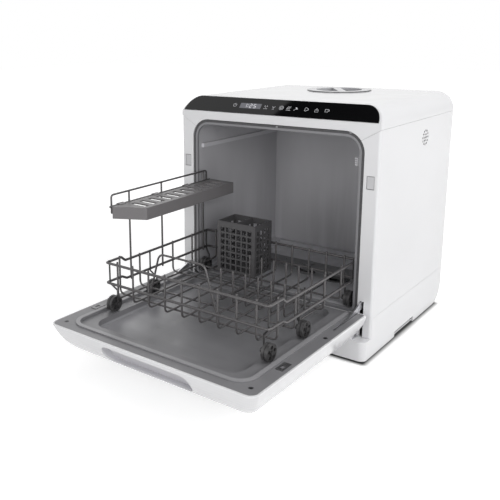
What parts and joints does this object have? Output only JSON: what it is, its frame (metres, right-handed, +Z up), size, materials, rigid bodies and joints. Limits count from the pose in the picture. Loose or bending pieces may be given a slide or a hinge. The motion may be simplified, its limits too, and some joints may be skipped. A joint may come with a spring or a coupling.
{
  "type": "countertop dishwasher",
  "caption": "Compact countertop dishwasher with a drop-down door, a pull-out wheeled wire basket with a folding cup shelf, a cutlery basket and a fill lid on top.",
  "frame": {"origin": "on the table plane, on the cabinet's centre line, under the cabinet's front face", "axes": "+X to the right seen from the front, +Y into the cabinet, +Z up; the open door reaches along -Y"},
  "size_m": [0.41, 0.73, 0.442],
  "materials": {
    "cabinet_white": "gloss",
    "control_black": "gloss",
    "tub_grey": "satin",
    "gasket": "matte",
    "tank": "translucent satin",
    "rear_grey": "matte",
    "circuit": "satin",
    "inner_grey": "matte",
    "pump": "satin",
    "steel": "brushed",
    "hose": "matte",
    "inlet_blue": "satin",
    "black_plastic": "matte",
    "latch_grey": "satin",
    "door_white": "gloss",
    "door_grey": "satin",
    "handle_grey": "satin",
    "wire": "nylon-coated satin",
    "wheel": "satin",
    "shelf": "satin",
    "foot": "matte",
    "lid": "gloss"
  },
  "bodies": {
    "cabinet": {"base_pan": "cabinet_white", "rubber_feet": "foot", "side_panel_left": "cabinet_white", "side_panel_right": "cabinet_white", "top_cover": "cabinet_white", "rear_panel": "rear_grey", "control_glass": "control_black", "control_board": "circuit", "display_board": "circuit", "tub": "tub_grey", "tub_gasket": "gasket", "water_tank": "tank", "sump": "inner_grey", "wash_pump": "pump", "drain_pump": "pump", "heater": "steel", "hoses": "hose", "drain_outlet": "black_plastic", "water_inlet": "inlet_blue", "power_inlet": "black_plastic", "hinge_brackets": "steel", "door_latches": "black_plastic", "latch_pads": "latch_grey", "fan_shroud": "black_plastic", "spray_post": "inner_grey", "cover_screws": "steel"},
    "door": {"door_outer_panel": "door_white", "door_inner_panel": "door_grey", "door_handle": "handle_grey", "hinge_arms": "steel", "hinge_pins": "steel", "door_springs": "steel", "door_screws": "steel", "strike_plates": "steel"},
    "front_axles": {"front_axle_pins": "wheel"},
    "basket": {"basket_rails": "wire", "basket_floor": "wire", "plate_rack": "wire", "bowl_hoop": "wire", "wheel_carriers": "wheel", "rear_axle_pins": "wheel", "shelf_posts": "wire"},
    "front_left_wheel": {"wheel_front_left": "wheel"},
    "front_right_wheel": {"wheel_front_right": "wheel"},
    "middle_left_wheel": {"wheel_middle_left": "wheel"},
    "middle_right_wheel": {"wheel_middle_right": "wheel"},
    "rear_left_wheel": {"wheel_rear_left": "wheel"},
    "rear_right_wheel": {"wheel_rear_right": "wheel"},
    "cup_shelf": {"cup_shelf": "shelf"},
    "cutlery_basket": {"cutlery_basket": "shelf"},
    "spray_arm": {"spray_arm": "inner_grey"},
    "fill_lid": {"fill_lid": "lid"},
    "sump_filter": {"sump_filter": "inner_grey"},
    "pump_impeller": {"pump_impeller": "latch_grey"},
    "fan_rotor": {"fan_rotor": "black_plastic"}
  },
  "joints": [
    {"name": "door_hinge", "type": "hinge", "parent": "cabinet", "child": "door", "pos_m": [0, -0.02275, 0.06775], "axis": [-1, 0, 0], "range_deg": [0, 90]},
    {"name": "basket_travel", "type": "slide", "parent": "door", "child": "front_axles", "axis": [0, 1, 0], "range_m": [0, 0.2005]},
    {"name": "basket_level", "type": "hinge", "parent": "front_axles", "child": "basket", "pos_m": [0, -0.255, 0.1], "axis": [1, 0, 0], "range_deg": [0, 90.5]},
    {"name": "front_left_roll", "type": "hinge", "parent": "front_axles", "child": "front_left_wheel", "pos_m": [-0.1575, -0.255, 0.1], "axis": [-1, 0, 0], "continuous": true},
    {"name": "front_right_roll", "type": "hinge", "parent": "front_axles", "child": "front_right_wheel", "pos_m": [0.1575, -0.255, 0.1], "axis": [-1, 0, 0], "continuous": true},
    {"name": "middle_left_roll", "type": "hinge", "parent": "basket", "child": "middle_left_wheel", "pos_m": [-0.1575, -0.151, 0.1], "axis": [-1, 0, 0], "continuous": true},
    {"name": "middle_right_roll", "type": "hinge", "parent": "basket", "child": "middle_right_wheel", "pos_m": [0.1575, -0.151, 0.1], "axis": [-1, 0, 0], "continuous": true},
    {"name": "rear_left_roll", "type": "hinge", "parent": "basket", "child": "rear_left_wheel", "pos_m": [-0.1575, 0.0115, 0.1], "axis": [-1, 0, 0], "continuous": true},
    {"name": "rear_right_roll", "type": "hinge", "parent": "basket", "child": "rear_right_wheel", "pos_m": [0.1575, 0.0115, 0.1], "axis": [-1, 0, 0], "continuous": true},
    {"name": "cup_shelf_fold", "type": "hinge", "parent": "basket", "child": "cup_shelf", "pos_m": [-0.1568, -0.12, 0.2738], "axis": [0, -1, 0], "range_deg": [0, 90]},
    {"name": "cutlery_lift", "type": "slide", "parent": "basket", "child": "cutlery_basket", "axis": [0, 0, 1], "range_m": [0, 0.12]},
    {"name": "spray_arm_turn", "type": "hinge", "parent": "cabinet", "child": "spray_arm", "pos_m": [0, 0.15, 0.09], "axis": [0, 0, 1], "continuous": true},
    {"name": "fill_lid_turn", "type": "hinge", "parent": "cabinet", "child": "fill_lid", "pos_m": [0, 0.262, 0.437], "axis": [0, 0, 1], "range_deg": [0, 60]},
    {"name": "filter_turn", "type": "hinge", "parent": "cabinet", "child": "sump_filter", "pos_m": [0.066, 0.15, 0.07], "axis": [0, 0, 1], "range_deg": [0, 90]},
    {"name": "impeller_spin", "type": "hinge", "parent": "cabinet", "child": "pump_impeller", "pos_m": [-0.09, 0.15, 0.038], "axis": [1, 0, 0], "continuous": true},
    {"name": "fan_spin", "type": "hinge", "parent": "cabinet", "child": "fan_rotor", "pos_m": [0.195, 0.204, 0.366], "axis": [1, 0, 0], "continuous": true}
  ],
  "couplings": [
    {"joint": "basket_travel", "follows": "door_hinge", "m_per_rad": 0.12732},
    {"joint": "basket_level", "follows": "door_hinge", "ratio": 1},
    {"joint": "front_left_roll", "follows": "door_hinge", "ratio": 9.0946},
    {"joint": "front_right_roll", "follows": "door_hinge", "ratio": 9.0946}
  ]
}
